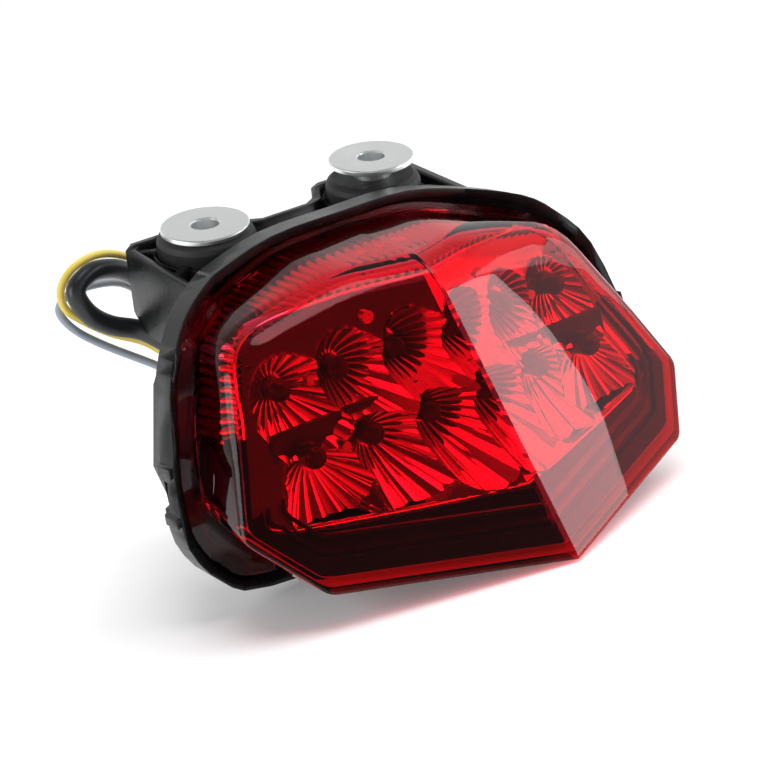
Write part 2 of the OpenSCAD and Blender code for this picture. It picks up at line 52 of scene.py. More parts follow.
PROW, RAKE, RIDGE_V = 0.348, 0.605, -47.9
FRONT = [(0, -8.1), (15, -7.7), (30, -10.2), (44.3, -14.7), (51, -31.7), (57.8, -48.9), (46.9, -61.5),
         (0, -66.9)]
ROOT = [(0, -5), (17, -5.6), (30, -9.8), (45.5, -15.2), (52, -31), (55.4, -47.8), (44, -64.6), (0, -68)]
ROOT_V = [-22, -22, -22, -28, -36, -38, -40, -40]
FLANGE = [(0, -3.8), (17, -4.4), (31, -8.6), (43.5, -13.3), (48.6, -16.8), (53.4, -24), (58.4, -44),
          (58.2, -54), (53.8, -61.2), (44.5, -66.1), (0, -69.2)]
REFLECTOR = [(0, -12), (20, -12.3), (39.5, -16.5), (46.6, -32.5), (52.4, -46.5), (49.5, -50), (38, -51.7),
             (0, -53.7)]
RIM_PLAN = [(0, -20.5), (30, -20.5), (36, -21.8), (50, -30.6), (56, -34.8), (70, -45)]
RIM_SIDE = [(-76, -41), (-47, -37), (-24, -33.4), (-17, -30), (-12, -20), (-7, 0)]
WALL = 2.2
# How far back the lens's sloping wall would reach at each height: [w, v]
WALL_ROOT = [(-64, -40), (-48, -38), (-31, -36), (-15.2, -28), (-9.8, -22)]

LAMP_PITCH = 14.46
LAMP_XS = [(i - 2.5) * LAMP_PITCH for i in range(6)]
ROWS = [(-40.6, -26.65), (-50.1, -39.3)]


# ---------------------------------------------------------------- geometry helpers

def at(x, v, w):
    """A point of the lens's own axes, in the frame and in metres."""
    c, s = math.cos(TILT), math.sin(TILT)
    return Vector((x, v * c + w * s, -v * s + w * c)) * MM


def front_v(x, w):
    """v of the lens's two front planes."""
    return PROW * abs(x) + RAKE * w + RIDGE_V


def both(half):
    """The whole outline, clockwise from the top of the centre line."""
    return list(half) + [(-p[0], *p[1:]) for p in reversed(half) if p[0] > 0]


def smooth_loop(points, n):
    """A Catmull-Rom curve through a closed outline."""
    p = np.array(points, float)
    out = []
    for i in range(len(p)):
        a, b, c, d = p[i - 1], p[i], p[(i + 1) % len(p)], p[(i + 2) % len(p)]
        for k in range(n):
            t = k / n
            out.append(0.5 * (2 * b + (c - a) * t + (2 * a - 5 * b + 4 * c - d) * t ** 2
                              + (3 * b - a - 3 * c + d) * t ** 3))
    return np.array(out)


CENTRE = np.array([0.0, -33.0])


def radial(outline, angles):
    """The points where rays from CENTRE meet an outline; angles run clockwise from straight up."""
    p = np.array([q[:2] for q in outline], float) - CENTRE
    out = []
    for a in np.atleast_1d(angles):
        d = np.array([math.sin(a), math.cos(a)])
        best = None
        for i in range(len(p)):
            q, e = p[i], p[(i + 1) % len(p)] - p[i]
            det = d[0] * -e[1] + d[1] * e[0]
            if abs(det) < 1e-9:
                continue
            t = (q[0] * -e[1] + q[1] * e[0]) / det
            u = (d[0] * q[1] - d[1] * q[0]) / det
            if t > 0 and -1e-6 <= u <= 1 + 1e-6 and (best is None or t > best):
                best = t
        out.append(CENTRE + best * d)
    return np.array(out)


def inset(outline, d):
    """Every side of a clockwise outline moved inwards by d."""
    p = np.array([q[:2] for q in outline], float)
    out = []
    for i in range(len(p)):
        a = p[i] - p[i - 1]
        b = p[(i + 1) % len(p)] - p[i]
        a, b = a / np.linalg.norm(a), b / np.linalg.norm(b)
        na, nb = np.array([a[1], -a[0]]), np.array([b[1], -b[0]])
        out.append(p[i] + d * (na + nb) / (1 + na @ nb))
    return out


def rim_v(x, w):
    """v of the rim's front edge."""
    plan = np.interp(abs(x), [p[0] for p in RIM_PLAN], [p[1] for p in RIM_PLAN])
    side = np.interp(w, [p[0] for p in RIM_SIDE], [p[1] for p in RIM_SIDE])
    return min(plan, side)


def piece(name, verts, faces, material, body=HOME, smooth_angle=None, replaces=()):
    mesh = bpy.data.meshes.new(name)
    mesh.from_pydata([tuple(v) for v in verts], [], [tuple(f) for f in faces])
    mesh.update()
    return dress(bpy.data.objects.new(name, mesh), material, body, smooth_angle, replaces)


def dress(obj, material, body=HOME, smooth_angle=None, replaces=()):
    if obj.name not in bpy.context.scene.collection.objects:
        bpy.context.scene.collection.objects.link(obj)
    obj.data.materials.clear()
    obj.data.materials.append(material)
    if smooth_angle is not None:
        obj.data.polygons.foreach_set("use_smooth", [True] * len(obj.data.polygons))
        obj.data.set_sharp_from_angle(angle=math.radians(smooth_angle))
    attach(obj, body)
    if replaces:
        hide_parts(*replaces)
    return obj


def flat_faces(obj):
    """Keeps the large faces of a smooth-shaded mesh flat up to their edges."""
    normals = obj.modifiers.new("flat_faces", "WEIGHTED_NORMAL")
    normals.weight, normals.keep_sharp = 100, True
    return obj


def closed_mesh(name, verts, faces):
    """A closed mesh with all its faces turned outwards."""
    mesh = bpy.data.meshes.new(name)
    mesh.from_pydata([tuple(v) for v in verts], [], [tuple(f) for f in faces])
    bm = bmesh.new()
    bm.from_mesh(mesh)
    bmesh.ops.remove_doubles(bm, verts=bm.verts, dist=WELD)
    bmesh.ops.recalc_face_normals(bm, faces=bm.faces)
    bm.to_mesh(mesh)
    bm.free()
    return mesh


def recast(node, name, material, angle=30, body=HOME):
    """A CAD node's mesh with its faces joined up, so that its many flats shade as curves."""
    bm = bmesh.new()
    bm.from_mesh(nodes[node].data)
    bmesh.ops.remove_doubles(bm, verts=bm.verts, dist=WELD)
    mesh = bpy.data.meshes.new(name)
    bm.to_mesh(mesh)
    bm.free()
    return flat_faces(dress(bpy.data.objects.new(name, mesh), material, body, angle, (node,)))


def grid_faces(rows, cols, closed=False):
    last = cols if closed else cols - 1
    return [(r * cols + c, r * cols + (c + 1) % cols, (r + 1) * cols + (c + 1) % cols, (r + 1) * cols + c)
            for r in range(rows - 1) for c in range(last)]


# ---------------------------------------------------------------- materials

def material(name, **values):
    m = bpy.data.materials.new(name)
    m.use_nodes = True
    tree = m.node_tree
    bsdf = tree.nodes["Principled BSDF"]
    for key, value in values.items():
        bsdf.inputs[key.replace("_", " ")].default_value = value
    return m, tree, bsdf


def rgba(r, g, b):
    return (r, g, b, 1.0)


def add(tree, kind, **inputs):
    node = tree.nodes.new(kind)
    for key, value in inputs.items():
        node.inputs[key.replace("_", " ")].default_value = value
    return node


def grain(tree, bsdf, scale, bump, depth, rough=None, wear=None, bevel=None):
    """Noise in the object's own metres: a bump, a roughness range and an optional paler wear in broad random
    patches.
    """
    link = tree.links.new
    coords = tree.nodes.new("ShaderNodeTexCoord")
    fine = add(tree, "ShaderNodeTexNoise", Scale=scale, Detail=4.0, Roughness=0.6)
    link(coords.outputs["Object"], fine.inputs["Vector"])
    relief = add(tree, "ShaderNodeBump", Strength=bump, Distance=depth)
    link(fine.outputs["Fac"], relief.inputs["Height"])
    if bevel:
        edge = tree.nodes.new("ShaderNodeBevel")
        edge.samples = 4
        edge.inputs["Radius"].default_value = bevel
        link(edge.outputs["Normal"], relief.inputs["Normal"])
    link(relief.outputs["Normal"], bsdf.inputs["Normal"])
    broad = add(tree, "ShaderNodeTexNoise", Scale=scale / 12, Detail=5.0, Roughness=0.65)
    link(coords.outputs["Object"], broad.inputs["Vector"])
    if rough:
        span = add(tree, "ShaderNodeMapRange")
        span.inputs["From Min"].default_value, span.inputs["From Max"].default_value = 0.3, 0.7
        span.inputs["To Min"].default_value, span.inputs["To Max"].default_value = rough
        link(broad.outputs["Fac"], span.inputs["Value"])
        link(span.outputs["Result"], bsdf.inputs["Roughness"])
    if wear:
        mix = tree.nodes.new("ShaderNodeMix")
        mix.data_type = "RGBA"
        mix.inputs["A"].default_value = bsdf.inputs["Base Color"].default_value
        mix.inputs["B"].default_value = wear
        ramp = add(tree, "ShaderNodeMapRange")
        ramp.inputs["From Min"].default_value, ramp.inputs["From Max"].default_value = 0.45, 0.75
        link(broad.outputs["Fac"], ramp.inputs["Value"])
        link(ramp.outputs["Result"], mix.inputs["Factor"])
        link(mix.outputs["Result"], bsdf.inputs["Base Color"])


def plain(name, color, rough, scale=900, bump=0.15, depth=0.0001, metal=0.0, wear=None, bevel=None,
          spec=0.5):
    """An opaque material; rough is the range of its roughness."""
    m, tree, bsdf = material(name, Base_Color=rgba(*color), Roughness=sum(rough) / 2, Metallic=metal)
    bsdf.inputs["Specular IOR Level"].default_value = spec
    grain(tree, bsdf, scale, bump, depth, rough, rgba(*wear) if wear else None, bevel)
    return m


def clear_red(name, tint, shadow_tint, ior=1.36):
    """Clear red moulding. Light that crosses it to reach what lies behind is tinted, and isn't bent."""
    m, tree, bsdf = material(name, Base_Color=rgba(*tint), Roughness=0.0, IOR=ior)
    bsdf.inputs["Specular IOR Level"].default_value = 1.0
    bsdf.inputs["Transmission Weight"].default_value = 1.0
    link = tree.links.new
    coords = tree.nodes.new("ShaderNodeTexCoord")
    ripple = add(tree, "ShaderNodeTexNoise", Scale=60.0, Detail=1.0)
    link(coords.outputs["Object"], ripple.inputs["Vector"])
    relief = add(tree, "ShaderNodeBump", Strength=0.05, Distance=0.0003)
    link(ripple.outputs["Fac"], relief.inputs["Height"])
    link(relief.outputs["Normal"], bsdf.inputs["Normal"])
    through = add(tree, "ShaderNodeBsdfTransparent", Color=rgba(*shadow_tint))
    path = tree.nodes.new("ShaderNodeLightPath")
    either = tree.nodes.new("ShaderNodeMath")
    either.operation = "MAXIMUM"
    link(path.outputs["Is Shadow Ray"], either.inputs[0])
    link(path.outputs["Is Diffuse Ray"], either.inputs[1])
    mix = tree.nodes.new("ShaderNodeMixShader")
    link(either.outputs["Value"], mix.inputs["Fac"])
    link(bsdf.outputs["BSDF"], mix.inputs[1])
    link(through.outputs["BSDF"], mix.inputs[2])
    link(mix.outputs["Shader"], tree.nodes["Material Output"].inputs["Surface"])
    return m


def translucent(m, tint, share):
    """Lets part of the light through a thin piece, scattered."""
    tree = m.node_tree
    through = add(tree, "ShaderNodeBsdfTranslucent", Color=rgba(*tint))
    mix = add(tree, "ShaderNodeMixShader", Fac=share)
    tree.links.new(tree.nodes["Principled BSDF"].outputs["BSDF"], mix.inputs[1])
    tree.links.new(through.outputs["BSDF"], mix.inputs[2])
    tree.links.new(mix.outputs["Shader"], tree.nodes["Material Output"].inputs["Surface"])


ABS = plain("abs_black", (0.008, 0.0085, 0.009), (0.24, 0.38), 1400, 0.3, 0.0001, wear=(0.014, 0.015, 0.016),
            bevel=0.0003, spec=0.3)
BEZEL = plain("bezel_black", (0.004, 0.004, 0.0045), (0.30, 0.45), 900, 0.1, bevel=0.0003, spec=0.15)
GLOSS = plain("bezel_gloss", (0.010, 0.010, 0.011), (0.10, 0.18), 900, 0.1)
RUBBER = plain("rubber_black", (0.010, 0.010, 0.011), (0.50, 0.68), 1800, 0.3, 0.0001,
               wear=(0.02, 0.02, 0.02), bevel=0.0004)
ZINC = plain("zinc_satin", (0.93, 0.95, 0.95), (0.26, 0.40), 2600, 0.12, 0.00006, metal=1.0,
             wear=(0.96, 0.97, 0.97), bevel=0.00018)
SCREW = plain("screw_zinc", (0.6, 0.61, 0.62), (0.25, 0.35), 2000, 0.1, metal=1.0, bevel=0.0002)
CHROME = plain("metallised", (0.93, 0.93, 0.94), (0.05, 0.11), 420, 0.05, 0.0001, metal=0.94)
SATIN = plain("metallised_satin", (0.93, 0.93, 0.94), (0.12, 0.20), 420, 0.05, 0.0001, metal=0.6)
# A darker copy of the metallised coat: painted shade on the reflector's front face and its border
PAINTED_SHADE_CHROME = plain("metallised_painted_shade", (0.42, 0.42, 0.43), (0.10, 0.16), 420, 0.05, 0.0001, metal=0.9)
BOARD = plain("board_green", (0.015, 0.12, 0.045), (0.30, 0.45), 700, 0.15, wear=(0.02, 0.16, 0.06))
YELLOW = plain("pvc_yellow", (0.78, 0.60, 0.10), (0.28, 0.42), 900, 0.1, wear=(0.85, 0.70, 0.20))
GREY = plain("pvc_grey", (0.30, 0.34, 0.40), (0.28, 0.42), 900, 0.1, wear=(0.36, 0.40, 0.46))
RED = plain("pvc_red", (0.50, 0.02, 0.015), (0.28, 0.42), 900, 0.1)
BLACK = plain("pvc_black", (0.013, 0.014, 0.016), (0.26, 0.40), 900, 0.12)
WHITE = plain("pvc_white", (0.75, 0.75, 0.73), (0.28, 0.42), 900, 0.1)
NYLON = plain("nylon_natural", (0.70, 0.68, 0.61), (0.32, 0.46), 800, 0.1, wear=(0.76, 0.74, 0.68),
              bevel=0.0002)
BRASS = plain("brass", (0.72, 0.50, 0.20), (0.18, 0.30), 1500, 0.1, metal=1.0)
LACQUER = plain("resistor_lacquer", (0.55, 0.43, 0.24), (0.25, 0.4), 900, 0.1, bevel=0.0002)
MOULD = plain("chip_black", (0.012, 0.012, 0.012), (0.35, 0.5), 1500, 0.2, bevel=0.0002)
# The lamps' domes are near black: painted shade of the dark holes they sit in
PAINTED_SHADE_EPOXY = plain("led_epoxy_painted_shade", (0.035, 0.001, 0.0015), (0.08, 0.16), 500, 0.03, spec=0.25)
PHOSPHOR = plain("led_phosphor", (0.85, 0.72, 0.25), (0.2, 0.3), 700, 0.05, bevel=0.0002)
LENS_CORE = plain("lens_red_scatter", (0.45, 0.008, 0.016), (0.3, 0.4), 700, 0.05, spec=0.2)
translucent(LENS_CORE, (0.62, 0.014, 0.026), 0.7)
LENS = clear_red("lens_red", (0.90, 0.034, 0.075), (0.82, 0.20, 0.26))


# ---------------------------------------------------------------- CAD nodes that keep their shape

for name, look in {
    "dark_bezel": BEZEL, "lens_seal": RUBBER, "upper_led_board": BOARD, "lower_led_board": BOARD,
    "plate_led_board": BOARD, "upper_row_leds": PAINTED_SHADE_EPOXY, "lower_row_leds": PAINTED_SHADE_EPOXY, "plate_leds": PHOSPHOR,
    "resistors": LACQUER, "polarity_diodes": MOULD, "regulator_chip": MOULD, "board_screws": SCREW,
    "reflector_screws": SCREW, "left_grommet": RUBBER, "right_grommet": RUBBER, "left_sleeve": ZINC,
    "right_sleeve": ZINC, "breather_plug": RUBBER, "cable_grommet": RUBBER, "plug_housing": NYLON,
    "plug_terminals": BRASS, "plug_lock": NYLON,
}.items():
    nodes[name].data.materials.clear()
    nodes[name].data.materials.append(look)

recast("rear_housing", "housing_shell", ABS, 44)
recast("harness_sleeve", "harness_tube", BLACK, 50)
recast("yellow_wires", "wire_yellow", YELLOW, 50)
recast("grey_wire", "wire_grey", GREY, 50)
recast("red_wire", "wire_red", RED, 50)
recast("black_wire", "wire_black", BLACK, 50)
recast("white_wire", "wire_white", WHITE, 50)


# ---------------------------------------------------------------- lens

CORNERS = 14                     # of the whole lens outline
CORNER_STEPS = 4
PER_CORNER = CORNER_STEPS + 1    # points that a rounded corner has
LENS_FOOT = 1.6                  # how far the lens's wall runs in behind the rim's front edge
EDGE_STEPS = 5                   # of the rounded edge between the front and the wall
# For each corner of FRONT's half: how far its curve starts from it, and the size of the rounded edge there
CORNER_TRIM = [0.5, 5, 8, 6, 5, 2.0, 1.6, 0.4]
EDGE_ROUND = [7, 8, 9, 6, 3, 1.0, 0.8, 0.8]


def each_corner(half):
    """A list for half of the corners, as a list for all of them."""
    return [half[min(i, CORNERS - i)] for i in range(CORNERS)]


def rounded_loop(outline, trims, steps=CORNER_STEPS):
    """The outline with each corner replaced by a quadratic curve that starts its trim short of it."""
    p = np.array([q[:2] for q in outline], float)
    n = len(p)
    sides = [np.linalg.norm(p[(i + 1) % n] - p[i]) for i in range(n)]
    out = []
    for i in range(n):
        to_prev, to_next = p[i - 1] - p[i], p[(i + 1) % n] - p[i]
        a = p[i] + to_prev * min(trims[i] / sides[i - 1], 0.46)
        b = p[i] + to_next * min(trims[i] / sides[i], 0.46)
        for k in range(steps + 1):
            t = k / steps
            out.append((1 - t) ** 2 * a + 2 * t * (1 - t) * p[i] + t ** 2 * b)
    return np.array(out)


def lens_rings(depth):
    """Rings of the lens skin at a depth under its surface, from the front face over the edge to the root."""
    trims = each_corner(CORNER_TRIM)
    lift = depth * math.sqrt(PROW ** 2 + 1 + RAKE ** 2)
    front = rounded_loop(inset(both(FRONT), depth), trims)
    root = rounded_loop(inset(both(ROOT), depth), trims)
    root_v = np.repeat(each_corner(ROOT_V), PER_CORNER)
    size = np.repeat(each_corner(EDGE_ROUND), PER_CORNER)
    blend_rounds, fit_rounds = 6, 8    # the edge's size is evened out, and the foot is moved onto the rim
    for _ in range(blend_rounds):
        size = (size + np.roll(size, 1) + np.roll(size, -1)) / 3
    size = np.maximum(size - depth, 0.4)
    edge = np.array([(x, front_v(x, w) + lift, w) for x, w in front])
    foot = np.column_stack([root[:, 0], root_v, root[:, 1]])
    for _ in range(fit_rounds):
        way = foot - edge
        target = np.array([rim_v(q[0], q[2]) + LENS_FOOT for q in foot])
        foot = edge + way * ((target - edge[:, 1]) / way[:, 1])[:, None]
    way = (foot - edge) / np.linalg.norm(foot - edge, axis=1)[:, None]
    ahead, behind = np.roll(front, -1, axis=0), np.roll(front, 1, axis=0)
    tangent = ahead - behind
    tangent /= np.linalg.norm(tangent, axis=1)[:, None]
    inward = np.column_stack([tangent[:, 1], -tangent[:, 0]])
    inner = front + inward * size[:, None]
    inner[np.abs(front[:, 0]) < 1e-6, 0] = 0.0
    inner = np.array([(x, front_v(x, w) + lift, w) for x, w in inner])
    outer = edge + way * size[:, None]
    rings = []
    for t in np.arange(EDGE_STEPS + 1) / EDGE_STEPS:
        rings.append((1 - t) ** 2 * inner + 2 * t * (1 - t) * edge + t ** 2 * outer)
    rings += [outer + (foot - outer) * t for t in (0.5, 1.0)]
    return rings


def lens_body():
    """The faceted cup of the lens: front planes, an edge that is wide at the top only, and a wall."""
    outer, inner = lens_rings(0), lens_rings(WALL)
    n = len(outer[0])
    verts = [at(*p) for ring in outer for p in ring] + [at(*p) for ring in inner for p in ring]
    rows = len(outer)
    faces = grid_faces(rows, n, True)
    faces += [tuple(rows * n + i for i in reversed(f)) for f in faces]
    foot = (rows - 1) * n
    faces += [(foot + k, foot + rows * n + k, foot + rows * n + (k + 1) % n, foot + (k + 1) % n)
              for k in range(n)]
    top, bottom = CORNER_STEPS // 2, n // 2 + CORNER_STEPS // 2    # where the ring crosses the ridge
    for base in (0, rows * n):
        right = list(range(top, bottom + 1))
        left = [k % n for k in range(bottom, n + top + 1)]
        for side in (right, left):
            face = [base + k for k in side]
            faces.append(tuple(face if base == 0 else reversed(face)))
    mesh = closed_mesh("lens_body", verts, faces)
    body = bpy.data.objects.new("lens_body", mesh)
    return flat_faces(dress(body, LENS, HOME, 26, ("outer_lens",)))


def lens_core():
    """The middle of the lens wall next to its side and lower edges, where light in the wall is scattered."""
    height = 6.0
    first_corner, last_corner = 3, 9
    rings = lens_rings(WALL / 2)
    reach = rings[-1] - rings[EDGE_STEPS]
    rings = rings[1:EDGE_STEPS + 1] + [
        rings[EDGE_STEPS] + reach * (height / np.linalg.norm(reach, axis=1))[:, None]]
    first, last = (PER_CORNER * corner + CORNER_STEPS // 2 for corner in (first_corner, last_corner))
    verts = [at(*ring[k]) for ring in rings for k in range(first, last + 1)]
    return piece("lens_core", verts, grid_faces(len(rings), last - first + 1), LENS_CORE,
                 smooth_angle=26)


def lens_flange():
    """The flange that sits in the rim, with its outer edge rounded."""
    angles = np.linspace(0, 2 * math.pi, 240, endpoint=False)
    outer = radial(smooth_loop(both(FLANGE), 6), angles)
    inner = radial(inset(both(ROOT), 0.8), angles)
    set_back = 0.8
    section = [(0.0, 0.0), (0.0, 0.94), (0.3, 1.0), (1.7, 1.0), (2.0, 0.94), (2.0, 0.0)]
    verts = []
    for depth, out in section:
        for p, q in zip(inner, outer):
            x, w = p + (q - p) * out
            verts.append(at(x, rim_v(x, w) + set_back + depth, w))
    faces = grid_faces(len(section), len(angles), True)
    return piece("lens_flange", verts, faces, LENS, smooth_angle=40)


lens_body()
lens_core()
lens_flange()


def bezel_strip(name, section, look):
    """A strip of the dark mask below the reflector. Its section is given by insets from the lens's outline
    and depths behind the lens's front."""
    angles = np.linspace(math.radians(104), math.radians(256), 70)
    verts = []
    for inwards, depth in section:
        for x, w in radial(inset(both(FRONT), inwards), angles):
            verts.append(at(x, front_v(x, w) + depth, w))
    faces = grid_faces(len(section), len(angles))
    return piece(name, verts, faces, look, smooth_angle=30)


bezel_strip("bezel_rim", [(2.6, 5.5), (2.45, 3.2), (5.4, 3.3), (5.4, 4.6)], BEZEL)
bezel_strip("bezel_step_outer", [(6.4, 4.6), (6.4, 3.9), (7.0, 3.9), (7.3, 4.6)], GLOSS)
bezel_strip("bezel_step_inner", [(9.0, 4.6), (9.0, 3.9), (9.7, 3.9), (10.0, 4.6)], GLOSS)


# ---------------------------------------------------------------- reflector

EDGES = []
for a, b in zip(both(REFLECTOR), both(REFLECTOR)[1:] + [REFLECTOR[0]]):
    run = math.hypot(b[0] - a[0], b[1] - a[1])
    EDGES.append((a[0], a[1], (b[1] - a[1]) / run, (a[0] - b[0]) / run))


def edge_distance(x, w):
    """Distance inwards from the reflector's outline."""
    return min((x - ax) * nx + (w - aw) * nw for ax, aw, nx, nw in EDGES)


MOUTH = 6.2                      # how far the reflector's front face lies behind the lens's front


def mouth_v(x, w):
    """The reflector's front face."""
    return front_v(x, w) + MOUTH


HOLE_R = 2.6                     # the hole that a lamp looks through
FAN_R = 8.6                      # where a bowl meets the front face, if it isn't stretched
REACH = 14.0                     # no bowl runs further out than this
PETALS = 22
LAMPS = [(x, row[1], row[0]) for row in ROWS for x in LAMP_XS]
DEPTHS = [lv - front_v(lx, lw) - MOUTH for lx, lw, lv in LAMPS]


def bowl_v(i, dx, dw):
    """v of bowl i at an offset from its lamp. A bowl is as deep as the front face allows there. It is
    stretched away from the other row: the upper row upwards, the lower row downwards."""
    stretch = np.where(dw * (1 if i < 6 else -1) > 0, 1.4 if i < 6 else 1.2, 1.0)
    rho = np.hypot(dx, dw / stretch)
    return LAMPS[i][2] - DEPTHS[i] * (np.maximum(rho - HOLE_R, 0) / (FAN_R - HOLE_R)) ** 1.3


def surface_v(x, w, skip=None):
    """v of the front face with all its bowls, or without one of them."""
    v = mouth_v(x, w)
    for i, (lx, lw, lv) in enumerate(LAMPS):
        if i != skip and math.hypot(x - lx, w - lw) < REACH:
            v = max(v, float(bowl_v(i, x - lx, w - lw)))
    return v


def bowl_reach(i, dx, dw):
    """How far bowl i runs out from its lamp in one direction."""
    lx, lw, lv = LAMPS[i]

    def outside(rho):
        x, w = lx + rho * dx, lw + rho * dw
        return edge_distance(x, w) < 0.15 or bowl_v(i, rho * dx, rho * dw) < surface_v(x, w, i)

    lo = HOLE_R + 0.1
    while lo < REACH and not outside(lo + 0.6):
        lo += 0.6
    hi = lo + 0.6
    for _ in range(5):
        mid = (lo + hi) / 2
        lo, hi = (lo, mid) if outside(mid) else (mid, hi)
    return lo


def reflector_bowls():
    """Each bowl is a fan of fluted petals that runs out to its neighbours or to the front face."""
    per_petal, rings = 8, 20
    rise = 0.10                  # of a petal's middle, for each millimetre from the lamp's axis
    spokes = PETALS * per_petal
    angles = np.arange(spokes) * 2 * math.pi / spokes
    flute = np.abs(np.sin(PETALS * angles / 2)) ** 0.85
    verts, faces = [], []
    for i, (lx, lw, lv) in enumerate(LAMPS):
        base = len(verts)
        reach = np.array([bowl_reach(i, math.sin(a), math.cos(a)) for a in angles])
        for r in range(rings):
            rho = HOLE_R + (reach - HOLE_R) * (r / (rings - 1)) ** 1.15
            dx, dw = rho * np.sin(angles), rho * np.cos(angles)
            v = bowl_v(i, dx, dw) - rise * (rho - 2.0) * flute - 0.02
            verts += [at(*q) for q in zip(lx + dx, v, lw + dw)]
        faces += [tuple(base + k for k in f) for f in grid_faces(rings, spokes, True)]
        tube = len(verts)
        verts += [at(lx + HOLE_R * math.sin(a), lv - 0.06, lw + HOLE_R * math.cos(a)) for a in angles]
        faces += [(tube + s, tube + (s + 1) % spokes, base + (s + 1) % spokes, base + s)
                  for s in range(spokes)]
    return piece("reflector_bowls", verts, faces, CHROME, smooth_angle=22,
                 replaces=("reflector",))


def reflector_face():
    """The reflector's front face and, just behind the bowls, their backing. Both are in a darker copy of the
    metallised coat, as painted shade.
    """
    step = 0.5
    behind = 0.10
    overlap = 0.4                # past the outline, under the lip
    xs = np.arange(-52.5, 52.51, step)
    ws = np.arange(-54, -11.99, step)
    index, verts, faces = {}, [], []
    for j, w in enumerate(ws):
        for i, x in enumerate(xs):
            if edge_distance(x, w) >= -overlap:
                index[i, j] = len(verts)
                verts.append(at(x, surface_v(x, w) + behind, w))
    for (i, j) in list(index):
        quad = [(i, j), (i + 1, j), (i + 1, j + 1), (i, j + 1)]
        if all(q in index for q in quad):
            cx, cw = xs[i] + step / 2, ws[j] + step / 2
            if min(math.hypot(cx - l[0], cw - l[1]) for l in LAMPS) > HOLE_R + 0.4:
                faces.append([index[q] for q in quad])
    return piece("reflector_face", verts, faces, PAINTED_SHADE_CHROME, smooth_angle=30)


def reflector_lip():
    """The thin edge round the reflector's mouth."""
    loop = smooth_loop(both(REFLECTOR), 8)
    section = [(1.5, 0.1), (-0.2, 0.1), (-0.45, 0.25), (-0.45, 0.55), (-0.2, 0.7), (3.0, 0.8)]
    verts = []
    for depth, out in section:
        for k in range(len(loop)):
            a, b = loop[k - 1], loop[(k + 1) % len(loop)]
            t = (b - a) / np.linalg.norm(b - a)
            x, w = loop[k] - np.array([t[1], -t[0]]) * (out - 0.4)
            verts.append(at(x, front_v(*loop[k]) + MOUTH + depth, w))
    faces = grid_faces(len(section), len(loop), True)
    return piece("reflector_lip", verts, faces, CHROME, smooth_angle=40)


BAND_TOP = 3                     # share 0 of the wall lies this far behind the lens's front
BAND_FOOT = 1.2                  # and share 1 this far behind the rim's front edge


def wall_point(angle, share, clearance):
    """A point inside the lens wall: share 0 at the front face, 1 where the wall ends in the rim."""
    f = radial(inset(both(FRONT), WALL + clearance), [angle])[0]
    r = radial(inset(both(ROOT), WALL + clearance), [angle])[0]
    root_v = float(np.interp(r[1], *zip(*WALL_ROOT)))
    v0 = front_v(*f) + BAND_TOP
    share *= (rim_v(*r) + BAND_FOOT - v0) / (root_v - v0)
    x, w = f + (r - f) * share
    return np.array([x, v0 + (root_v - v0) * share, w])


FLUTE_PITCH = 2.1
FLUTE_STEPS = 10                 # points across one flute
SPAN = 1.80                      # the bands run this far from straight up, in radians


def fluted_band(name, inner, outer, height, look, rows=5):
    """A sheet from inner(angle) to outer(angle), fluted along its length."""
    dense = np.linspace(-SPAN, SPAN, 400)
    line = np.array([inner(a) for a in dense])
    run = np.concatenate([[0], np.cumsum(np.linalg.norm(np.diff(line, axis=0), axis=1))])
    count = int(run[-1] / FLUTE_PITCH) * FLUTE_STEPS + 1
    angles = np.interp(np.linspace(0, run[-1], count), run, dense)
    verts = []
    a_pts = [inner(a) for a in angles]
    b_pts = [outer(a) for a in angles]
    for r in range(rows):
        t = r / (rows - 1)
        for k, a in enumerate(angles):
            p = a_pts[k] + (b_pts[k] - a_pts[k]) * t
            wave = abs(math.sin(math.pi * k / FLUTE_STEPS)) ** 0.5 - 0.6
            out = np.array([math.sin(a), 0, math.cos(a)])
            x, v, w = p + out * height * wave
            verts.append(at(x, v, w))
    return piece(name, verts, grid_faces(rows, count), look, smooth_angle=24)


def apron_inner(a):
    """The apron starts at the lip."""
    x, w = radial(inset(both(REFLECTOR), -0.5), [a])[0]
    return np.array([x, front_v(x, w) + MOUTH, w])


def apron_outer(a):
    """The apron ends part of the way along the lens's wall, sooner at the sides than at the top."""
    return wall_point(a, 0.66 if abs(a) < 1.0 else 0.42, 0.9)


def border_outer(a):
    """The border ends in the rim."""
    return wall_point(a, 1.0, 0.7)


reflector_bowls()
reflector_face()
reflector_lip()
fluted_band("reflector_apron", apron_inner, apron_outer, 1.9, SATIN)
# The border is in the darker copy of the metallised coat, which paints shade on it
fluted_band("reflector_border", apron_outer, border_outer, 1.5, PAINTED_SHADE_CHROME)


# ---------------------------------------------------------------- floor, light, camera

# The light stands on the bottom of its rim and on the lower end of the lens's ridge
FLOOR_GAP = 0.5 * MM             # clears the rim's lowest point, which is a little under rim_foot
rim_foot = at(0, -35, -71.4)
ridge_foot = at(0, front_v(0, -66.9), -66.9)
slope = math.atan2(ridge_foot.z - rim_foot.z, ridge_foot.y - rim_foot.y)
bpy.ops.mesh.primitive_grid_add(x_subdivisions=8, y_subdivisions=8, size=8)
floor = bpy.context.object
floor.name = "floor"
floor.location = rim_foot + Vector((0, 0, -FLOOR_GAP))
floor.rotation_euler = (slope + math.pi, 0, 0)
m, tree, bsdf = material("floor_white", Base_Color=rgba(0.86, 0.86, 0.87), Roughness=0.55)
bsdf.inputs["Emission Color"].default_value = rgba(1, 1, 1)
bsdf.inputs["Emission Strength"].default_value = 0.12
floor.data.materials.append(m)

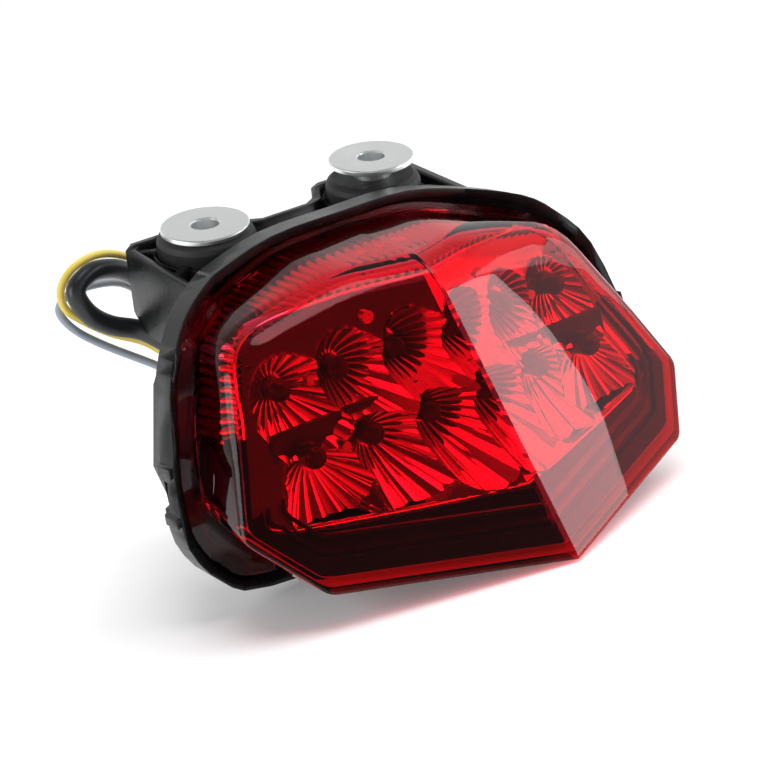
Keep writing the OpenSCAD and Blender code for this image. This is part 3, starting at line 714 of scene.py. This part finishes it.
# The room is bright at the sides and behind the light, and dim overhead. The camera sees plain white.
world = bpy.data.worlds.new("studio")
bpy.context.scene.world = world
world.use_nodes = True
tree = world.node_tree
link = tree.links.new
back = tree.nodes["Background"]
back.inputs["Strength"].default_value = 1.0
geo = tree.nodes.new("ShaderNodeTexCoord")
split = tree.nodes.new("ShaderNodeSeparateXYZ")
link(geo.outputs["Generated"], split.inputs["Vector"])
ramp = tree.nodes.new("ShaderNodeMapRange")
ramp.inputs["From Min"].default_value, ramp.inputs["From Max"].default_value = 0.30, 0.72
ramp.inputs["To Min"].default_value, ramp.inputs["To Max"].default_value = 0.85, 0.10
link(split.outputs["Z"], ramp.inputs["Value"])
path = tree.nodes.new("ShaderNodeLightPath")
pick = tree.nodes.new("ShaderNodeMix")
pick.data_type = "FLOAT"
link(path.outputs["Is Camera Ray"], pick.inputs["Factor"])
rear = tree.nodes.new("ShaderNodeMapRange")
rear.inputs["From Min"].default_value, rear.inputs["From Max"].default_value = 0.05, 0.35
rear.inputs["To Min"].default_value, rear.inputs["To Max"].default_value = 0.0, 0.35
link(split.outputs["Y"], rear.inputs["Value"])
more = tree.nodes.new("ShaderNodeMath")
more.operation = "MAXIMUM"
link(ramp.outputs["Result"], more.inputs[0])
link(rear.outputs["Result"], more.inputs[1])
link(more.outputs["Value"], pick.inputs["A"])
pick.inputs["B"].default_value = 1.0
link(pick.outputs["Result"], back.inputs["Strength"])
back.inputs["Color"].default_value = rgba(1, 1, 1)


def softbox(name, place, aim, width, height, power, shape="DISK"):
    """An area lamp at a place, turned to a point; a disk has only a width."""
    data = bpy.data.lights.new(name, "AREA")
    data.shape, data.size, data.energy = shape, width, power
    if shape in ("RECTANGLE", "ELLIPSE"):
        data.size_y = height
    obj = bpy.data.objects.new(name, data)
    bpy.context.scene.collection.objects.link(obj)
    obj.location = place
    obj.rotation_euler = (Vector(aim) - Vector(place)).to_track_quat("-Z", "Y").to_euler()
    return obj


softbox("key", (0.50, -0.33, 0.26), (0.0, -0.06, -0.02), 0.38, 0.38, 1.6)
softbox("second", (0.60, -0.03, 0.17), (0.0, -0.05, -0.02), 0.24, 0.20, 0.25, "RECTANGLE")
softbox("overhead", (0.02, 0.0, 0.75), (0.0, -0.04, -0.02), 0.30, 0.30, 0.6)
softbox("side", (-0.55, 0.05, 0.20), (0.0, -0.04, -0.02), 0.35, 0.35, 1.0)

sun = bpy.data.objects.new("fill", bpy.data.lights.new("fill", "SUN"))
bpy.context.scene.collection.objects.link(sun)
sun.data.energy, sun.data.angle = 2.6, math.radians(60)
sun.rotation_euler = Vector((-0.45, -0.25, -1.0)).to_track_quat("-Z", "Y").to_euler()
sun.visible_glossy = False

camera = bpy.data.objects.new("camera", bpy.data.cameras.new("camera"))
bpy.context.scene.collection.objects.link(camera)
camera.location = (-0.20855, -0.34824, 0.16217)
camera.rotation_euler = tuple(math.radians(a) for a in (62.407, 4.1495, -35.4653))
camera.data.sensor_width = 36
camera.data.lens = 90.47
camera.data.clip_start, camera.data.clip_end = 0.01, 30
bpy.context.scene.camera = camera

view = bpy.context.scene.view_settings
view.view_transform = "Standard"
view.look = "None"
cycles = bpy.context.scene.cycles
cycles.max_bounces, cycles.transmission_bounces, cycles.glossy_bounces = 16, 12, 8
cycles.transparent_max_bounces = 16
